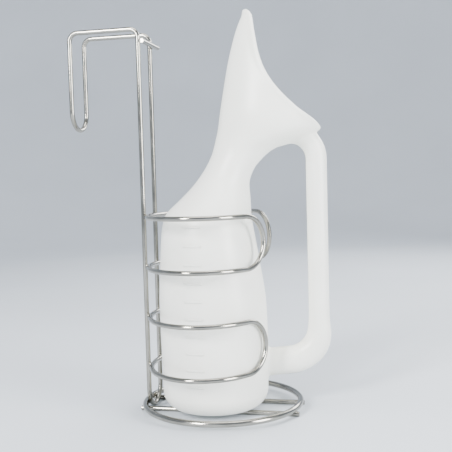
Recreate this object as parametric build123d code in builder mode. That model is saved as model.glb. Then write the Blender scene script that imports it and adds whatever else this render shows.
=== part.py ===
from build123d import *
import math
import os

os.makedirs("parts", exist_ok=True)

# Bedside urine bottle for women, standing in a bent wire holder that hooks over a bed rail.
# Millimetres. +Z is up, +X points from the rail hook to the bottle's handle, and -Y is the side
# that carries the graduations. The origin is on the standing plane, below the base ring's centre.

# ---------------------------------------------------------------- driving dimensions
wire = 4.0  # diameter of the hanger, loop, cross and bar wires
ring_wire = 5.0  # diameter of the heavier base ring wire
end_chamfer = 0.4  # on cut wire ends
weld = 0.3  # how far two crossing wires are pressed into each other where they are welded

hanger_x = -59.8  # plane of the hanger's two uprights
hanger_half = 15.2  # half the distance between the uprights
hanger_top = 316.0  # height of the wire over the rail
hook_reach = 59.8  # from the uprights out to the hook's down-turned end
hook_low = 236.6  # lowest point of the hook's end
bend = 7.0  # centreline radius of the hook's two bends

bar_height = 306.2  # cross bar welded below the hook's bend
bar_near = -16.5
bar_far = 25.5

loop_depth = 64.0  # half the loop's size along Y
loop_reach = 48.9  # half the loop's size along X
loop_near_open = 37.5  # distance from the middle at which the rungs turn round, on the near side
upper_far_open = 49.0  # and on the far side, where the handle points
lower_far_open = 59.0
loop_pitch = 41.3  # spacing of all four rungs
loop_low = 38.8  # height of the lowest rung

cross_offset = 16.5  # the two wires under the bottle, each side of the middle
cross_overhang = 1.2  # past the base ring's outer edge

wall = 1.6  # moulded wall of the bottle
rest_gap = 0.3  # clearance drawn between the bottle's foot and the wires that it stands on
foot_radius = 13.0  # rounding between the bottle's foot and its side
bottle_x = -5.9  # the body's middle
bottle_turn = 11.5  # degrees that the bottle stands turned in its holder, handle towards +Y
belly_back = -45.0  # the outline of the bottle is measured from the body's middle
belly_front = 43.8
belly_half = 50.0
handle_half_x = 8.6
handle_half_y = 8.8
arm_half = 11.8  # the lower arm is deeper than the grip
arm_half_y = 9.2
handle_x = 87.8  # centreline of the grip
handle_low = 41.4  # height where the grip's line and the lower arm's line meet
arch_z = 206.5  # start of the handle's top bend
arch_radius = 22.0
arch_turn = 105.0  # degrees that the top bend turns through, ending inside the throat
elbow_radius = 26.5
arm_slope = 0.07
arm_start = 30.0

# ---------------------------------------------------------------- derived places
touch = wire - weld
ring_z = wire + ring_wire / 2 - weld
hanger_low = wire / 2
hook_x = hanger_x - hook_reach
# The hanger's lower bend runs through the height of the ring here, and is welded inside it.
low_bend_z = hanger_low + hanger_half
weld_y = math.sqrt(hanger_half**2 - (low_bend_z - ring_z) ** 2)
ring_radius = math.hypot(hanger_x, weld_y) + (ring_wire + wire) / 2 - weld
loop_x = hanger_x + touch + loop_reach * math.sqrt(1 - (hanger_half / loop_depth) ** 2)
foot_z = wire + rest_gap


def bent_wire(far_route, near_route, diameter):
    """A round wire in two halves that meet at the XZ plane; the near half's route is mirrored."""
    with BuildPart() as bent:
        with BuildSketch(Plane(origin=near_route @ 0, z_dir=near_route % 0)):
            Circle(diameter / 2)
        sweep(path=near_route)
        mirror(about=Plane.XZ, mode=Mode.REPLACE)
        with BuildSketch(Plane(origin=far_route @ 0, z_dir=far_route % 0)):
            Circle(diameter / 2)
        sweep(path=far_route)
    return bent


# ---------------------------------------------------------------- hanger with its rail hook
with BuildLine() as hanger_route:
    low_middle = (hanger_x, 0, hanger_low)
    upright_low = (hanger_x, hanger_half, low_bend_z)
    upright_top = (hanger_x, hanger_half, hanger_top - bend)
    over_start = (hanger_x - bend, hanger_half, hanger_top)
    over_end = (hook_x + bend, hanger_half, hanger_top)
    hook_top = (hook_x, hanger_half, hanger_top - bend)
    hook_end = (hook_x, hanger_half, hook_low + hanger_half)
    hook_middle = (hook_x, 0, hook_low)
    TangentArc(low_middle, upright_low, tangent=(0, 1, 0))
    Line(upright_low, upright_top)
    TangentArc(upright_top, over_start, tangent=(0, 0, 1))
    Line(over_start, over_end)
    TangentArc(over_end, hook_top, tangent=(-1, 0, 0))
    Line(hook_top, hook_end)
    TangentArc(hook_end, hook_middle, tangent=(0, 0, -1))
hanger_half_wire = hanger_route.wires()[0]
hanger = bent_wire(hanger_half_wire, hanger_half_wire, wire)
hanger.part.label = "hanger"
export_step(hanger.part, "parts/hanger.step")

# ---------------------------------------------------------------- bar across the hanger
with BuildPart() as hook_bar:
    with BuildSketch(Plane.XZ.offset(-bar_near)):
        with Locations((hanger_x + touch, bar_height)):
            Circle(wire / 2)
    extrude(amount=-(bar_far - bar_near))
    chamfer(hook_bar.edges().filter_by(GeomType.CIRCLE), end_chamfer)
hook_bar.part.label = "hook_bar"
export_step(hook_bar.part, "parts/hook_bar.step")


# ---------------------------------------------------------------- the two loops round the bottle
def loop_route(low, opening):
    """Half of one closed loop: out along the upper rung, round the end and back along the lower."""
    turn = math.asin(opening / loop_depth)
    end_x = loop_x + loop_reach * math.cos(turn)
    along_x = loop_reach * math.sin(turn)
    along_y = -loop_depth * math.cos(turn)
    length = math.hypot(along_x, along_y)
    end_radius = loop_pitch / 2
    tip_x = end_x + end_radius * along_x / length
    tip_y = opening + end_radius * along_y / length
    high = low + loop_pitch
    from_angle = math.degrees(turn)
    with BuildLine() as route:
        EllipticalCenterArc(
            (loop_x, 0, high), loop_reach, loop_depth, 180, arc_size=from_angle - 180
        )
        ThreePointArc(
            (end_x, opening, high),
            (tip_x, tip_y, low + end_radius),
            (end_x, opening, low),
        )
        EllipticalCenterArc(
            (loop_x, 0, low), loop_reach, loop_depth, from_angle, arc_size=180 - from_angle
        )
    return route.wires()[0]


for loop_name, low, far_open in (
    ("lower_loop", loop_low, lower_far_open),
    ("upper_loop", loop_low + 2 * loop_pitch, upper_far_open),
):
    loop = bent_wire(loop_route(low, far_open), loop_route(low, loop_near_open), wire)
    loop.part.label = loop_name
    export_step(loop.part, f"parts/{loop_name}.step")

# ---------------------------------------------------------------- base ring and its cross wires
with BuildPart() as base_ring:
    with BuildSketch(Plane.XZ):
        with Locations((ring_radius, ring_z)):
            Circle(ring_wire / 2)
    revolve(axis=Axis.Z)
base_ring.part.label = "base_ring"
export_step(base_ring.part, "parts/base_ring.step")

cross_half = math.sqrt((ring_radius + ring_wire / 2) ** 2 - cross_offset**2) + cross_overhang
for cross_name, y in (("near_cross_wire", -cross_offset), ("far_cross_wire", cross_offset)):
    with BuildPart() as cross_wire:
        with BuildSketch(Plane.YZ.offset(-cross_half)):
            with Locations((y, wire / 2)):
                Circle(wire / 2)
        extrude(amount=2 * cross_half)
        chamfer(cross_wire.edges().filter_by(GeomType.CIRCLE), end_chamfer)
    cross_wire.part.label = cross_name
    export_step(cross_wire.part, f"parts/{cross_name}.step")

# ---------------------------------------------------------------- bottle
bottle_floor = Plane(
    origin=(bottle_x, 0, 0),
    x_dir=(math.cos(math.radians(bottle_turn)), math.sin(math.radians(bottle_turn)), 0),
    z_dir=(0, 0, 1),
)
bottle_side = Plane(origin=bottle_floor.origin, x_dir=bottle_floor.x_dir, z_dir=-bottle_floor.y_dir)

# Each level gives the height, the back and front of the outline in the bottle's middle plane,
# half the size across it and the squareness of the section, where 2 is an ellipse.
levels = [
    (30.0, -43.6, 43.8, 49.6, 2.12),
    (60.0, -44.6, 44.4, belly_half, 2.12),
    (90.0, belly_back, belly_front, belly_half, 2.12),
    (125.0, -43.2, 39.0, 49.0, 2.12),
    (150.0, -41.3, 35.0, 47.0, 2.1),
    (163.0, -38.1, 33.2, 43.2, 2.08),
    (175.0, -25.9, 33.0, 35.6, 2.05),
    (187.0, -14.0, 32.2, 28.0, 2.0),
    (200.0, -4.3, 36.4, 23.2, 2.0),
    (208.0, 0.2, 43.4, 22.4, 2.0),
    (214.5, 2.9, 50.6, 23.2, 2.0),
    (220.0, 4.4, 63.0, 25.4, 2.0),
    (224.5, 5.6, 77.4, 28.0, 2.0),
    (228.5, 6.6, 88.6, 30.2, 2.0),
    (232.0, 7.4, 91.4, 31.8, 2.0),
    (245.0, 9.4, 93.4, 34.0, 2.0),
    (261.0, 12.2, 90.4, 33.2, 2.0),
    (288.0, 17.5, 78.0, 27.8, 2.0),
    (312.0, 24.2, 58.0, 18.6, 2.0),
    (324.0, 29.2, 44.4, 10.4, 2.0),
    (330.0, 32.4, 38.6, 5.0, 2.0),
]
section_points = 24
steepest = 4.0  # most that a wall cut level is thicker than the wall
rim = [(92.6, 230.0), (85.0, 236.3), (70.1, 246.4), (54.8, 261.4), (40.6, 288.6), (36.2, 312.8)]
rim += [(35.4, 323.0), (33.4, 328.2), (29.5, 330.6)]
above_rim = 345.0
beyond_rim = 130.0
rim_half = 60.0


def outline(back, front, half, squareness):
    """Points round a superellipse, starting at the front."""
    middle = (back + front) / 2
    reach = (front - back) / 2
    points = []
    for step in range(section_points):
        angle = 2 * math.pi * step / section_points
        c = math.cos(angle)
        s = math.sin(angle)
        x = middle + reach * math.copysign(abs(c) ** (2 / squareness), c)
        y = half * math.copysign(abs(s) ** (2 / squareness), s)
        points.append((x, y))
    return points


def foot_levels(base, radius, inset_all, steps=4):
    """The rounded edge between the foot and the side, from the foot upwards."""
    _, back, front, half, squareness = levels[0]
    made = []
    for step in range(steps):
        angle = math.pi / 2 * step / steps
        inset = inset_all + radius * (1 - math.sin(angle))
        height = base + radius * (1 - math.cos(angle))
        made.append((height, back + inset, front - inset, half - inset, squareness))
    return made


def inner_levels():
    """The same levels with the wall taken off square to the surface."""
    made = []
    for low, level, high in zip(levels[:1] + levels, levels, levels[1:]):
        height, back, front, half, squareness = level
        rise = high[0] - low[0]
        back_wall = wall * min(steepest, math.hypot(1, (high[1] - low[1]) / rise))
        front_wall = wall * min(steepest, math.hypot(1, (high[2] - low[2]) / rise))
        side_wall = wall * min(steepest, math.hypot(1, (high[3] - low[3]) / rise))
        made.append((height, back + back_wall, front - front_wall, half - side_wall, squareness))
    return made


def lofted(sections):
    """A closed solid through all the given levels."""
    with BuildPart() as body:
        for height, back, front, half, squareness in sections:
            with BuildSketch(bottle_floor.offset(height)):
                with BuildLine():
                    Spline(outline(back, front, half, squareness), periodic=True)
                make_face()
        loft()
    return body.part


def handle_tube(thickness):
    """The handle's outside, or its hollow when a thickness is taken off."""
    start_z = handle_low - arm_slope * (handle_x - arm_start)
    with BuildPart() as tube:
        with BuildLine(bottle_side) as grip_line:
            FilletPolyline(
                (arm_start, start_z), (handle_x, handle_low), (handle_x, arch_z), radius=elbow_radius
            )
            CenterArc((handle_x - arch_radius, arch_z), arch_radius, 0, arch_turn)
        sizes = [
            (0.0, arm_half, arm_half_y),
            (0.14, arm_half, arm_half_y),
            (0.40, handle_half_x, handle_half_y),
            (1.0, handle_half_x, handle_half_y),
        ]
        for place, half_x, half_y in sizes:
            station = Plane(
                origin=grip_line.line @ place, x_dir=bottle_floor.y_dir, z_dir=grip_line.line % place
            )
            with BuildSketch(station):
                Ellipse(half_y - thickness, half_x - thickness)
        sweep(multisection=True)
    return tube.part


outside = lofted(foot_levels(foot_z, foot_radius, 0) + levels)
inside = lofted(foot_levels(foot_z + wall, foot_radius - wall, wall) + inner_levels())
with BuildPart() as bottle:
    add(outside)
    add(handle_tube(0))
    add(inside, mode=Mode.SUBTRACT)
    add(handle_tube(wall), mode=Mode.SUBTRACT)
    with BuildSketch(bottle_side):
        with BuildLine():
            Spline(rim)
            Polyline(
                rim[-1],
                (rim[-1][0], above_rim),
                (beyond_rim, above_rim),
                (beyond_rim, rim[0][1]),
                rim[0],
            )
        make_face()
    extrude(amount=rim_half, both=True, mode=Mode.SUBTRACT)
bottle.part.label = "bottle"
export_step(bottle.part, "parts/bottle.step")
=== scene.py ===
import math

import bpy
import numpy as np
from mathutils import Matrix, Vector


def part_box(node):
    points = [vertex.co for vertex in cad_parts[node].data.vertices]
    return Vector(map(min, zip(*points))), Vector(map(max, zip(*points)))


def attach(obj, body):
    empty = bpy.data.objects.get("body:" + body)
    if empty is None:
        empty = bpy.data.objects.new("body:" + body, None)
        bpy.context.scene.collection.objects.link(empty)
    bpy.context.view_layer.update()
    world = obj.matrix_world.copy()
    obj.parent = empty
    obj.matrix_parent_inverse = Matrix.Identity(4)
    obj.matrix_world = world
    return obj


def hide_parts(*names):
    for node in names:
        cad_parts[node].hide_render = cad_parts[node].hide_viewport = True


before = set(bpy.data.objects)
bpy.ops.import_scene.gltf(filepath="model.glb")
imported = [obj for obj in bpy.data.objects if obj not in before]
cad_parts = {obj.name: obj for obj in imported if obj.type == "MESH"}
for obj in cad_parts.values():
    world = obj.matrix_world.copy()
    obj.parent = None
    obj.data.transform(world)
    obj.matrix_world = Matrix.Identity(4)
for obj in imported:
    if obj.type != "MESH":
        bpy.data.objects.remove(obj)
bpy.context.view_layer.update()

# Urine bottle in its wire holder. The chrome wires are the CAD nodes, with weld nuggets added.
# The bottle is built here as one moulding: an implicit surface in the bottle's own frame, in
# millimetres, with x from the body's middle towards the handle and z up, turned into the mesh
# and then placed in the row frame.

MM = 0.001

# ---------------------------------------------------------------- the bottle's shape
BODY_X = -5.9
TURN = math.radians(11.5)
WALL = 1.6
FOOT_Z = 1000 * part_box("bottle")[0][2]
FOOT_RADIUS = 13.0
PUSH_UP = 2.0  # how far the foot's middle is raised
PUSH_UP_EDGE = 0.86  # where the raising starts, in proportion from the middle to the side
PUSH_UP_SPREAD = 0.3
BLEND = 5.5  # size of the fillet between the handle and the body

# height, back, front, half width, squareness (2 is an ellipse)
LEVELS = (
    (0, -43.6, 43.8, 49.6, 2.12),
    (30, -43.9, 44.2, 49.7, 2.12),
    (60, -44.6, 44.6, 50.0, 2.12),
    (90, -45.0, 43.8, 50.0, 2.12),
    (125, -43.2, 39.0, 49.0, 2.12),
    (150, -41.3, 35.0, 47.0, 2.1),
    (163, -38.1, 33.2, 43.2, 2.08),
    (175, -25.9, 33.0, 35.6, 2.05),
    (187, -14.0, 32.2, 28.0, 2.0),
    (200, -4.3, 36.4, 23.2, 2.0),
    (208, 0.2, 43.4, 22.4, 2.0),
    (214.5, 2.9, 50.6, 23.2, 2.0),
    (220, 4.4, 63.0, 25.4, 2.0),
    (224.5, 5.6, 77.4, 28.0, 2.0),
    (228.5, 6.6, 88.6, 30.2, 2.0),
    (232, 7.4, 91.4, 31.8, 2.0),
    (245, 9.4, 93.4, 34.0, 2.0),
    (261, 12.2, 90.4, 33.2, 2.0),
    (288, 17.5, 78.0, 27.8, 2.0),
    (312, 24.2, 58.0, 18.6, 2.0),
    (324, 29.2, 44.4, 10.4, 2.0),
    (330, 32.4, 38.6, 5.0, 2.0),
    (334, 34.6, 35.0, 0.8, 2.0),
)
RIM = (
    (99.0, 224.0),
    (92.6, 230.0),
    (85.0, 236.3),
    (70.1, 246.4),
    (54.8, 261.4),
    (45.2, 276.0),
    (40.4, 290.0),
    (37.9, 305.0),
    (36.6, 316.0),
    (35.9, 323.2),
    (33.6, 326.8),
    (29.5, 328.4),
    (18.0, 328.8),
)
RIM_BEAD = 1.1  # how much the wall thickens outwards at the rim
RIM_BEAD_WIDTH = 2.8
RIM_FROM_Z = 215.0
FAR_BELOW_RIM = -1e3  # stands for the distance from the rim at all lower points

GRIP_X = 87.8
GRIP_HALF = (8.6, 8.8)
ARM_HALF = (11.9, 9.4)
ARM_UP_TO_Z = (40.0, 80.0)  # the arm's section turns into the grip's between these heights
ELBOW_Z = 41.4
ELBOW_RADIUS = 26.5
ARM_SLOPE = 0.07
ARM_START = 30.0
ARCH_Z = 206.5
ARCH_RADIUS = 22.0
ARCH_TURN = math.radians(105)

GRID = 1.4
SNAP = 0.4 * GRID  # points nearer to the rim than this are moved onto it
MESH_BOX = ((-50.0, 100.0), (-54.0, 54.0), (0.0, 340.0))


def smooth_table(levels, step=0.5, spread=2.5):
    """The levels' columns as smooth functions of height, sampled at every step."""
    z, columns = np.array(levels)[:, 0], np.array(levels)[:, 1:]
    fine = np.arange(z[0], z[-1] + step / 2, step)
    slopes = np.diff(columns, axis=0) / np.diff(z)[:, None]
    tangents = np.zeros_like(columns)
    product = slopes[:-1] * slopes[1:]
    total = np.where(product > 0, slopes[:-1] + slopes[1:], 1)
    tangents[1:-1] = np.where(product > 0, 2 * product / total, 0)
    tangents[-1] = slopes[-1]
    i = np.clip(np.searchsorted(z, fine, side="right") - 1, 0, len(z) - 2)
    width = (z[i + 1] - z[i])[:, None]
    t = (fine - z[i])[:, None] / width
    table = (
        (1 + 2 * t) * (1 - t) ** 2 * columns[i]
        + t * (1 - t) ** 2 * width * tangents[i]
        + t * t * (3 - 2 * t) * columns[i + 1]
        + t * t * (t - 1) * width * tangents[i + 1]
    )
    reach = int(4 * spread / step)
    kernel = np.exp(-0.5 * (np.arange(-reach, reach + 1) * step / spread) ** 2)
    kernel /= kernel.sum()
    padded = np.concatenate(
        [
            np.repeat(table[:1], reach, axis=0),
            table,
            table[-1:] + np.arange(1, reach + 1)[:, None] * (table[-1:] - table[-2:-1]),
        ]
    )
    smooth = [np.convolve(padded[:, c], kernel, mode="valid") for c in range(table.shape[1])]
    return fine, np.array(smooth).T


def smooth_curve(points, per_span=24):
    """A Catmull-Rom curve through the points."""
    p = np.array(points, float)
    p = np.vstack([2 * p[0] - p[1], p, 2 * p[-1] - p[-2]])
    t = np.linspace(0, 1, per_span, endpoint=False)[:, None]
    spans = []
    for a, b, c, d in zip(p, p[1:], p[2:], p[3:]):
        square = 2 * a - 5 * b + 4 * c - d
        cube = 3 * b - a - 3 * c + d
        spans.append(0.5 * (2 * b + (c - a) * t + square * t**2 + cube * t**3))
    return np.vstack(spans + [p[-2:-1]])


TABLE_Z, TABLE = smooth_table(LEVELS)
RIM_CURVE = smooth_curve(RIM)


def eased(t):
    """A share from 0 to 1 with a soft start and end."""
    return t * t * (3 - 2 * t)


def section(x, y, z):
    """1 on the body's side, less inside and more outside, in proportion along any ray."""
    back, front, half, square = (np.interp(z, TABLE_Z, column) for column in TABLE.T)
    reach = np.maximum((front - back) / 2, 0.3)
    half = np.maximum(half, 0.3)
    across = np.abs(x - (front + back) / 2) / reach
    return (across**square + np.abs(y / half) ** square) ** (1 / square)


def body_distance(x, y, z, step=0.4):
    """About the distance from the body's outside, negative inside it."""
    g = section(x, y, z)
    gx = section(x + step, y, z) - section(x - step, y, z)
    gy = section(x, y + step, z) - section(x, y - step, z)
    gz = section(x, y, z + step) - section(x, y, z - step)
    side = (g - 1) / np.maximum(np.sqrt(gx**2 + gy**2 + gz**2) / (2 * step), 1e-3)
    lift = PUSH_UP * eased(np.clip((PUSH_UP_EDGE - g) / PUSH_UP_SPREAD, 0, 1))
    foot = FOOT_Z + lift - z
    a, b = side + FOOT_RADIUS, foot + FOOT_RADIUS
    corner = np.hypot(np.maximum(a, 0), np.maximum(b, 0))
    return np.minimum(np.maximum(a, b), 0) + corner - FOOT_RADIUS


def arc_distance(x, z, cx, cz, radius, start, turn):
    """Distance in the side plane from an arc, measured from its start angle."""
    angle = np.mod(np.arctan2(z - cz, x - cx) - start - turn / 2 + math.pi, 2 * math.pi) - math.pi
    angle = np.clip(angle + turn / 2, 0, turn) + start
    return np.hypot(x - cx - radius * np.cos(angle), z - cz - radius * np.sin(angle))


def line_distance(x, z, ax, az, bx, bz):
    """Distance in the side plane from a straight stretch."""
    dx, dz = bx - ax, bz - az
    t = np.clip(((x - ax) * dx + (z - az) * dz) / (dx * dx + dz * dz), 0, 1)
    return np.hypot(x - ax - t * dx, z - az - t * dz)


def handle_distance(x, y, z):
    """About the distance from the handle's outside."""
    tilt = math.atan(ARM_SLOPE)
    turn = math.pi / 2 - tilt
    cut_back = ELBOW_RADIUS * math.tan(turn / 2)
    grip_low = ELBOW_Z + cut_back
    arm_x = GRIP_X - cut_back * math.cos(tilt)
    arm_z = ELBOW_Z - cut_back * math.sin(tilt)
    start_z = ELBOW_Z - ARM_SLOPE * (GRIP_X - ARM_START)
    centre_x = GRIP_X - ELBOW_RADIUS
    line = np.minimum.reduce(
        [
            line_distance(x, z, ARM_START, start_z, arm_x, arm_z),
            arc_distance(x, z, centre_x, grip_low, ELBOW_RADIUS, -turn, turn),
            line_distance(x, z, GRIP_X, grip_low, GRIP_X, ARCH_Z),
            arc_distance(x, z, GRIP_X - ARCH_RADIUS, ARCH_Z, ARCH_RADIUS, 0, ARCH_TURN),
        ]
    )
    low, high = ARM_UP_TO_Z
    share = eased(np.clip((high - z) / (high - low), 0, 1))
    half_x, half_y = (g + (a - g) * share for g, a in zip(GRIP_HALF, ARM_HALF))
    return np.hypot(line, y * half_x / half_y) - half_x


def rim_distance(x, z):
    """Signed distance in the side plane from the rim's curve, positive on the open side."""
    best = np.full(np.shape(x), 1e9)
    side = np.zeros(np.shape(x))
    for (ax, az), (bx, bz) in zip(RIM_CURVE, RIM_CURVE[1:]):
        dx, dz = bx - ax, bz - az
        t = np.clip(((x - ax) * dx + (z - az) * dz) / (dx * dx + dz * dz), 0, 1)
        away = np.hypot(x - ax - t * dx, z - az - t * dz)
        nearer = away < best
        best = np.where(nearer, away, best)
        side = np.where(nearer, np.sign((x - ax) * dz - (z - az) * dx), side)
    return best * side


def rim_distance_above(x, z):
    """The distance from the rim where that can be near, and a fixed low value below."""
    away = np.full(np.shape(x), FAR_BELOW_RIM)
    near = z > RIM_FROM_Z
    away[near] = rim_distance(x[near], z[near])
    return away


def bead(rim):
    """How much the wall is thickened at a distance from the rim."""
    return RIM_BEAD * np.exp(-((rim / RIM_BEAD_WIDTH) ** 2))


def outside(x, y, z, rim=None):
    """The moulding's outer surface, before the mouth is cut: negative inside."""
    body = body_distance(x, y, z)
    handle = handle_distance(x, y, z)
    mix = np.maximum(BLEND - np.abs(body - handle), 0) / BLEND
    joined = np.minimum(body, handle) - mix**3 * BLEND / 6
    return joined - bead(rim_distance_above(x, z) if rim is None else rim)


def slope(points, step=0.25):
    """Gradient of the outer surface's field at the points."""
    x, y, z = points.T
    return np.stack(
        [
            outside(x + step, y, z) - outside(x - step, y, z),
            outside(x, y + step, z) - outside(x, y - step, z),
            outside(x, y, z + step) - outside(x, y, z - step),
        ],
        axis=1,
    ) / (2 * step)


def onto_surface(points, rounds=3):
    """Moves points along the gradient to the outer surface."""
    for _ in range(rounds):
        g = slope(points)
        size = np.maximum((g**2).sum(axis=1), 0.05)
        points = points - (outside(*points.T) / size)[:, None] * g
    return points


def unit(vectors):
    return vectors / np.maximum(np.linalg.norm(vectors, axis=1), 1e-9)[:, None]


def surface_nets():
    """Quads over the zero surface: one vertex in each grid cell that the surface crosses."""
    axes = [np.arange(low, high, GRID) for low, high in MESH_BOX]
    flat_x, flat_z = np.meshgrid(axes[0], axes[2], indexing="ij")
    rim = rim_distance_above(flat_x, flat_z)
    x, y, z = np.meshgrid(*axes, indexing="ij")
    field = outside(x, y, z, np.broadcast_to(rim[:, None, :], x.shape))
    cells = tuple(n - 1 for n in field.shape)
    total = np.zeros(cells + (3,))
    count = np.zeros(cells)
    corners = [(a, b, c) for a in (0, 1) for b in (0, 1) for c in (0, 1)]
    for first in corners:
        for axis in range(3):
            if first[axis]:
                continue
            second = tuple(v + (k == axis) for k, v in enumerate(first))
            f0 = field[tuple(slice(v, v + n) for v, n in zip(first, cells))]
            f1 = field[tuple(slice(v, v + n) for v, n in zip(second, cells))]
            crossed = (f0 < 0) != (f1 < 0)
            t = np.where(crossed, f0 / np.where(crossed, f0 - f1, 1), 0)
            for k in range(3):
                total[..., k] += crossed * (first[k] + (t if k == axis else 0))
            count += crossed
    used = count > 0
    number = np.full(cells, -1)
    number[used] = np.arange(used.sum())
    place = np.argwhere(used) + total[used] / count[used][:, None]
    points = place * GRID + np.array([low for low, _ in MESH_BOX])
    quads = []
    for axis in range(3):
        f0 = field[tuple(slice(0, -1) if k == axis else slice(1, -1) for k in range(3))]
        f1 = field[tuple(slice(1, None) if k == axis else slice(1, -1) for k in range(3))]
        u, v = [k for k in range(3) if k != axis]
        found = np.argwhere((f0 < 0) != (f1 < 0))
        inward = (f0 >= 0)[tuple(found.T)]
        found[:, u] += 1
        found[:, v] += 1
        around = []
        for du, dv in ((0, 0), (-1, 0), (-1, -1), (0, -1)):
            cell = found.copy()
            cell[:, u] += du
            cell[:, v] += dv
            around.append(number[tuple(cell.T)])
        ring = np.stack(around, axis=1)
        if axis == 1:
            inward = ~inward
        ring[inward] = ring[inward][:, ::-1]
        quads.append(ring)
    return points, np.vstack(quads)


def relaxed(points, quads, rounds=4):
    """Evens out the quads, keeping them on the surface."""
    ends = np.vstack([quads[:, [k, (k + 1) % 4]] for k in range(4)])
    for _ in range(rounds):
        total = np.zeros_like(points)
        count = np.zeros(len(points))
        np.add.at(total, ends[:, 0], points[ends[:, 1]])
        np.add.at(count, ends[:, 0], 1)
        middle = total / np.maximum(count, 1)[:, None]
        points = onto_surface(points + 0.7 * (middle - points), rounds=1)
    return onto_surface(points)


def rim_slope(points, step=0.2):
    """Gradient of the distance from the rim at the points."""
    x, _, z = points.T
    away = np.zeros_like(points)
    away[:, 0] = (rim_distance(x + step, z) - rim_distance(x - step, z)) / (2 * step)
    away[:, 2] = (rim_distance(x, z + step) - rim_distance(x, z - step)) / (2 * step)
    return away


def onto_rim(points, rounds=6):
    """Moves points along the outer surface to the line where the mouth is cut."""
    for _ in range(rounds):
        normal = unit(slope(points))
        away = rim_slope(points)
        along = away - (away * normal).sum(axis=1)[:, None] * normal
        size = np.maximum((along**2).sum(axis=1), 0.1)
        c = rim_distance(points[:, 0], points[:, 2])
        points = onto_surface(points - np.clip(c / size, -1, 1)[:, None] * along, rounds=1)
    return points


def cut_at_rim(points, quads):
    """Keeps the part of the surface below the rim, with clean edges along it."""
    c = rim_distance_above(points[:, 0], points[:, 2])
    snap = np.abs(c) < SNAP
    points[snap] = onto_rim(points[snap])
    c[snap] = 0
    most = c[quads].max(axis=1)
    least = c[quads].min(axis=1)
    faces = [tuple(q) for q in quads[(most <= 0) & (least < 0)]]
    cuts = {}
    new_points = []

    def cut(a, b):
        key = (min(a, b), max(a, b))
        if key not in cuts:
            cuts[key] = len(points) + len(new_points)
            t = c[a] / (c[a] - c[b])
            new_points.append(points[a] + t * (points[b] - points[a]))
        return cuts[key]

    for quad in quads[(most > 0) & (least < 0)]:
        face = []
        for a, b in zip(quad, np.roll(quad, -1)):
            if c[a] <= 0:
                face.append(a)
            if c[a] * c[b] < 0:
                face.append(cut(a, b))
        if len(face) > 2:
            faces.append(tuple(face))
    points = np.vstack([points, onto_rim(np.array(new_points))])
    used = sorted({v for face in faces for v in face})
    number = {v: i for i, v in enumerate(used)}
    return points[used], [tuple(number[v] for v in face) for face in faces]


def with_thickness(points, faces, round_steps=6):
    """The outer skin, the inner skin and the half-round edge between them."""
    normal = unit(slope(points))
    wall = WALL + bead(rim_distance_above(points[:, 0], points[:, 2]))
    inner = points - wall[:, None] * normal
    edges = dict.fromkeys(edge for face in faces for edge in zip(face, face[1:] + face[:1]))
    border = [(a, b) for a, b in edges if (b, a) not in edges]
    ids = sorted({a for edge in border for a in edge})
    at = {v: i for i, v in enumerate(ids)}
    n = normal[ids]
    away = rim_slope(points[ids])
    out = unit(away - (away * n).sum(axis=1)[:, None] * n)
    middle = (points[ids] + inner[ids]) / 2
    radius = wall[ids][:, None] / 2
    count = len(points)
    stack = [points, inner]
    normals = [normal, -normal]
    rows = [ids]
    for k in range(1, round_steps):
        angle = math.pi * k / round_steps
        around = math.cos(angle) * n + math.sin(angle) * out
        rows.append([2 * count + (k - 1) * len(ids) + i for i in range(len(ids))])
        stack.append(middle + radius * around)
        normals.append(around)
    rows.append([v + count for v in ids])
    solid = list(faces) + [tuple(v + count for v in face[::-1]) for face in faces]
    for low, high in zip(rows, rows[1:]):
        for a, b in border:
            i, j = at[a], at[b]
            solid.append((low[j], low[i], high[i], high[j]))
    return np.vstack(stack), solid, np.vstack(normals)


# ---------------------------------------------------------------- materials
def new_material(name):
    material = bpy.data.materials.new(name)
    material.use_nodes = True
    nodes = material.node_tree.nodes
    return material, nodes, material.node_tree.links, nodes["Principled BSDF"]


def noise(nodes, links, vector, scale, detail=3.0):
    node = nodes.new("ShaderNodeTexNoise")
    node.inputs["Scale"].default_value = scale
    node.inputs["Detail"].default_value = detail
    links.new(vector, node.inputs["Vector"])
    return node.outputs["Fac"]


def mapped(nodes, links, value, low, high, from_low=0.3, from_high=0.7):
    node = nodes.new("ShaderNodeMapRange")
    for name, number in (
        ("From Min", from_low),
        ("From Max", from_high),
        ("To Min", low),
        ("To Max", high),
    ):
        node.inputs[name].default_value = number
    links.new(value, node.inputs["Value"])
    return node.outputs["Result"]


def ramp(nodes, links, value, dark, light):
    node = nodes.new("ShaderNodeValToRGB")
    node.color_ramp.elements[0].color = (*dark, 1)
    node.color_ramp.elements[1].color = (*light, 1)
    node.color_ramp.elements[0].position = 0.3
    node.color_ramp.elements[1].position = 0.7
    links.new(value, node.inputs["Fac"])
    return node.outputs["Color"]


def bump(nodes, links, height, shader, strength, distance):
    node = nodes.new("ShaderNodeBump")
    node.inputs["Strength"].default_value = strength
    node.inputs["Distance"].default_value = distance
    links.new(height, node.inputs["Height"])
    links.new(node.outputs["Normal"], shader.inputs["Normal"])


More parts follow.
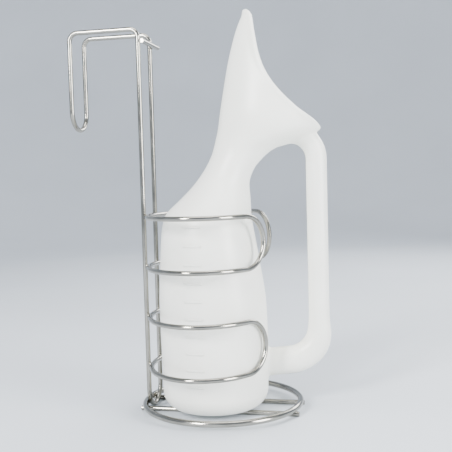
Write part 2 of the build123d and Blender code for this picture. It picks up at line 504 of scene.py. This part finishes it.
def milky_plastic():
    """Satin polyethylene: slightly uneven gloss, faint flow marks and light that soaks in."""
    material, nodes, links, shader = new_material("milky_polyethylene")
    place = nodes.new("ShaderNodeTexCoord").outputs["Object"]
    cloud = noise(nodes, links, place, 28, 2)
    fine = noise(nodes, links, place, 900, 4)
    colour = ramp(nodes, links, cloud, (0.874, 0.870, 0.780), (0.910, 0.905, 0.822))
    links.new(colour, shader.inputs["Base Color"])
    links.new(mapped(nodes, links, cloud, 0.30, 0.40), shader.inputs["Roughness"])
    shader.inputs["Subsurface Weight"].default_value = 0.35
    shader.inputs["Subsurface Radius"].default_value = (1.0, 0.95, 0.85)
    shader.inputs["Subsurface Scale"].default_value = 0.006
    shader.inputs["IOR"].default_value = 1.5
    bump(nodes, links, fine, shader, 0.10, 0.0002)
    return material


def chrome_with_painted_shade():
    """Plated wire: a mirror finish with drawing marks and duller patches, its colour darkened
    well below real chrome as painted shade for the dark surroundings it reflects.
    """
    material, nodes, links, shader = new_material("chrome_with_painted_shade")
    place = nodes.new("ShaderNodeTexCoord").outputs["Object"]
    cloud = noise(nodes, links, place, 60, 3)
    fine = noise(nodes, links, place, 1500, 2)
    # Painted shade: the colour is much darker than real chrome, standing in for the dark
    # reflections along the wires.
    colour = ramp(nodes, links, cloud, (0.245, 0.236, 0.208), (0.35, 0.338, 0.302))
    links.new(colour, shader.inputs["Base Color"])
    shader.inputs["Metallic"].default_value = 1.0
    links.new(mapped(nodes, links, cloud, 0.10, 0.20), shader.inputs["Roughness"])
    bump(nodes, links, fine, shader, 0.08, 0.0001)
    return material


def floor_material():
    material, nodes, links, shader = new_material("pale_floor")
    place = nodes.new("ShaderNodeTexCoord").outputs["Object"]
    cloud = noise(nodes, links, place, 3)
    colour = ramp(nodes, links, cloud, (0.56, 0.60, 0.65), (0.60, 0.64, 0.69))
    links.new(colour, shader.inputs["Base Color"])
    shader.inputs["Roughness"].default_value = 0.6
    return material


PLASTIC = milky_plastic()
CHROME = chrome_with_painted_shade()


# ---------------------------------------------------------------- pieces
def mesh_piece(
    name, points, faces, material, body, normals=None, place=Matrix.Identity(4)
):
    """A visual piece from points in millimetres, which rides one of the bodies."""
    mesh = bpy.data.meshes.new(name)
    mesh.from_pydata((np.asarray(points) * MM).tolist(), [], [list(map(int, f)) for f in faces])
    mesh.validate()
    mesh.polygons.foreach_set("use_smooth", [True] * len(mesh.polygons))
    if normals is not None:
        mesh.normals_split_custom_set_from_vertices(normals.tolist())
    mesh.materials.append(material)
    piece = bpy.data.objects.new(name, mesh)
    bpy.context.scene.collection.objects.link(piece)
    piece.matrix_world = place
    bpy.context.view_layer.update()
    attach(piece, body)
    return piece


bottle_place = Matrix.Translation((BODY_X * MM, 0, 0)) @ Matrix.Rotation(TURN, 4, "Z")

net_points, net_quads = surface_nets()
net_points = relaxed(net_points, net_quads)
skin_points, skin_faces = cut_at_rim(net_points, net_quads)
shell_points, shell_faces, shell_normals = with_thickness(skin_points, skin_faces)
bottle = mesh_piece(
    "bottle_moulding",
    shell_points,
    shell_faces,
    PLASTIC,
    "bottle",
    shell_normals,
    bottle_place,
)
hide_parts("bottle")

# ---------------------------------------------------------------- graduation bars
BARS = 10
BAR_X = -13.7
BAR_HALF_LENGTH = 7.6
BAR_HALF_HEIGHT = 1.1
BAR_RAISE = 0.55
BAR_SUNK = 0.15
BAR_FIRST_Z = 29.7
BAR_PITCH = 12.9
BAR_PITCH_GROWTH = 0.115  # the body narrows, so a bar's step grows with its number


def near_side(x, z):
    """Points of the outer surface on the side that faces -y, above x and z."""
    y = np.full(x.shape, -60.0)
    for _ in range(25):
        y = y + outside(x, y, z)
    return np.stack([x, y, z], axis=1)


def graduation_bars(along=24, up=8):
    u, v = np.meshgrid(np.linspace(-1, 1, along + 1), np.linspace(-1, 1, up + 1), indexing="ij")
    u, v = u.ravel(), v.ravel()
    relief = BAR_RAISE * (1 - v**4) * (1 - np.abs(u) ** 14) - BAR_SUNK
    points, faces, normals = [], [], []
    for k in range(BARS):
        z = BAR_FIRST_Z + BAR_PITCH * k + BAR_PITCH_GROWTH * k * k
        skin = near_side(BAR_X + BAR_HALF_LENGTH * u, z + BAR_HALF_HEIGHT * v)
        first = k * 2 * len(u)
        normal = unit(slope(skin))
        points.append(skin + relief[:, None] * normal)
        points.append(skin - 2 * BAR_SUNK * normal)
        row = up + 1
        for i in range(along):
            for j in range(up):
                a = first + i * row + j
                top = (a, a + row, a + row + 1, a + 1)
                faces.append(top)
                faces.append(tuple(p + len(u) for p in reversed(top)))
        loop = [i * row for i in range(along + 1)] + [along * row + j for j in range(1, row)]
        loop += [i * row + up for i in range(along - 1, -1, -1)] + list(range(up - 1, 0, -1))
        for a, b in zip(loop, loop[1:] + loop[:1]):
            faces.append((first + b, first + a, first + a + len(u), first + b + len(u)))
    return np.vstack(points), faces


bar_points, bar_faces = graduation_bars()
mesh_piece(
    "graduation_bars",
    bar_points,
    bar_faces,
    PLASTIC,
    "bottle",
    place=bottle_place,
)

# ---------------------------------------------------------------- holder
WIRES = ("hanger", "hook_bar", "upper_loop", "lower_loop", "base_ring")
WIRES += ("near_cross_wire", "far_cross_wire")
for node in WIRES:
    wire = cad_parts[node]
    wire.data.materials.clear()
    wire.data.materials.append(CHROME)


def box_mm(node):
    low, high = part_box(node)
    return 1000 * np.array(low), 1000 * np.array(high)


def nugget(centre, axis, radius=2.1, thickness=1.5, around=20, rings=10):
    """A small weld bead squeezed out between two wires that are stacked along the axis."""
    axis = Vector(axis).normalized()
    turn = axis.to_track_quat("Z", "Y").to_matrix()
    points, faces = [], []
    for i in range(1, rings):
        latitude = math.pi * i / rings
        for j in range(around):
            angle = 2 * math.pi * j / around
            wobble = 1 + 0.06 * math.sin(3 * angle + centre[2])
            flat = radius * wobble * math.sin(latitude)
            up = thickness * math.cos(latitude)
            spot = Vector((flat * math.cos(angle), flat * math.sin(angle), up))
            points.append(Vector(centre) + turn @ spot)
    points.append(Vector(centre) + axis * thickness)
    points.append(Vector(centre) - axis * thickness)
    top, bottom = len(points) - 2, len(points) - 1
    for j in range(around):
        k = (j + 1) % around
        faces.append((top, j, k))
        faces.append((bottom, (rings - 2) * around + k, (rings - 2) * around + j))
        for i in range(rings - 2):
            a = i * around
            faces.append((a + j, a + around + j, a + around + k, a + k))
    return [tuple(p) for p in points], faces


def weld_nuggets():
    """A nugget wherever two wires of the holder are welded, placed from the wires' own sizes."""
    bar_low, bar_high = box_mm("hook_bar")
    wire = bar_high[0] - bar_low[0]
    hanger_low, hanger_high = box_mm("hanger")
    upright_y = hanger_high[1] - wire / 2
    contact_x = (hanger_high[0] + bar_low[0]) / 2
    ring_low, ring_high = box_mm("base_ring")
    ring_wire = ring_high[2] - ring_low[2]
    ring_radius = (ring_high[0] - ring_low[0] - ring_wire) / 2
    cross_low, cross_high = box_mm("near_cross_wire")
    cross_y = (cross_high[1] + cross_low[1]) / 2
    heights = [(bar_low[2] + bar_high[2]) / 2]
    for loop in ("lower_loop", "upper_loop"):
        low, high = box_mm(loop)
        heights += [low[2] + wire / 2, high[2] - wire / 2]
    welds = []
    for z in heights:
        welds += [((contact_x, side * upright_y, z), (1, 0, 0)) for side in (-1, 1)]
    cross_x = math.sqrt(ring_radius**2 - cross_y**2)
    contact_z = (cross_high[2] + ring_low[2]) / 2
    for x in (-cross_x, cross_x):
        welds += [((x, side * cross_y, contact_z), (0, 0, 1)) for side in (-1, 1)]
    ring_z = (ring_low[2] + ring_high[2]) / 2
    upright_x = hanger_high[0] - wire / 2
    low_z = hanger_low[2] + upright_y + wire / 2
    ring_y = math.sqrt(upright_y**2 - (low_z - ring_z) ** 2)
    for side in (-1, 1):
        out = Vector((upright_x, side * ring_y, 0)).normalized()
        spot = out * (ring_radius - ring_wire / 2)
        welds.append(((spot.x, spot.y, ring_z), tuple(out)))
    points, faces = [], []
    for centre, axis in welds:
        p, f = nugget(centre, axis)
        faces += [tuple(v + len(points) for v in face) for face in f]
        points += p
    return points, faces


nugget_points, nugget_faces = weld_nuggets()
mesh_piece("weld_nuggets", nugget_points, nugget_faces, CHROME, "holder")

# ---------------------------------------------------------------- floor, light and camera
def studio_dish(flat=1.5, cove=1.3, wall=1.6, around=96, steps=16):
    """A pale floor that turns up all round into a plain wall, so that no horizon shows."""
    profile = [(flat / 2, 0.0)]
    for k in range(steps + 1):
        angle = math.pi / 2 * k / steps
        profile.append((flat + cove * math.sin(angle), cove * (1 - math.cos(angle))))
    profile.append((flat + cove, cove + wall))
    points = [
        (r * math.cos(2 * math.pi * j / around), r * math.sin(2 * math.pi * j / around), z)
        for r, z in profile
        for j in range(around)
    ]
    faces = []
    for i in range(len(profile) - 1):
        low, high = i * around, (i + 1) * around
        for j in range(around):
            k = (j + 1) % around
            faces.append((low + j, high + j, high + k, low + k))
    faces.append(tuple(range(around)))
    mesh = bpy.data.meshes.new("studio_floor")
    mesh.from_pydata(points, [], faces)
    mesh.polygons.foreach_set("use_smooth", [True] * len(mesh.polygons))
    mesh.materials.append(floor_material())
    dish = bpy.data.objects.new("studio_floor", mesh)
    bpy.context.scene.collection.objects.link(dish)
    return dish


studio_dish()


def area_light(name, location, target, size, power):
    """A white rectangular lamp turned to its target. Metres and watts."""
    light = bpy.data.lights.new(name, "AREA")
    light.shape = "RECTANGLE"
    light.size, light.size_y = size
    light.energy = power
    lamp = bpy.data.objects.new(name, light)
    bpy.context.scene.collection.objects.link(lamp)
    lamp.location = location
    lamp.rotation_euler = (Vector(target) - Vector(location)).to_track_quat("-Z", "Y").to_euler()


area_light("key_left", (-0.55, -1.25, 0.80), (0, 0, 0.17), (0.35, 0.7), 50)
area_light("fill_right", (1.2, -0.5, 0.45), (0, 0, 0.15), (0.5, 0.8), 34)
area_light("top", (0.1, 0.0, 1.5), (0, 0, 0.1), (0.9, 0.9), 18)
area_light("back_rim", (0.5, 1.1, 0.8), (0, 0, 0.2), (0.8, 0.6), 16)

world = bpy.data.worlds.new("studio")
world.use_nodes = True
background = world.node_tree.nodes["Background"]
background.inputs["Color"].default_value = (0.90, 0.93, 0.97, 1)
background.inputs["Strength"].default_value = 0.9
bpy.context.scene.world = world

CAMERA_PLACE = Vector((0.15158, -0.63018, 0.19393))
CAMERA_LOOK = Vector((-0.22407, 0.97253, -0.06314)).normalized()
CAMERA_UP = Vector((0.01243, 0.06763, 0.99763))
SENSOR_MM = 36
LENS_MM = 62.33
camera_data = bpy.data.cameras.new("camera")
camera_data.sensor_width = SENSOR_MM
camera_data.lens = LENS_MM
camera_data.clip_start = 0.01
camera = bpy.data.objects.new("camera", camera_data)
bpy.context.scene.collection.objects.link(camera)
right = CAMERA_LOOK.cross(CAMERA_UP).normalized()
up = right.cross(CAMERA_LOOK)
turn = Matrix((right, up, -CAMERA_LOOK)).transposed().to_4x4()
camera.matrix_world = Matrix.Translation(CAMERA_PLACE) @ turn
bpy.context.scene.camera = camera
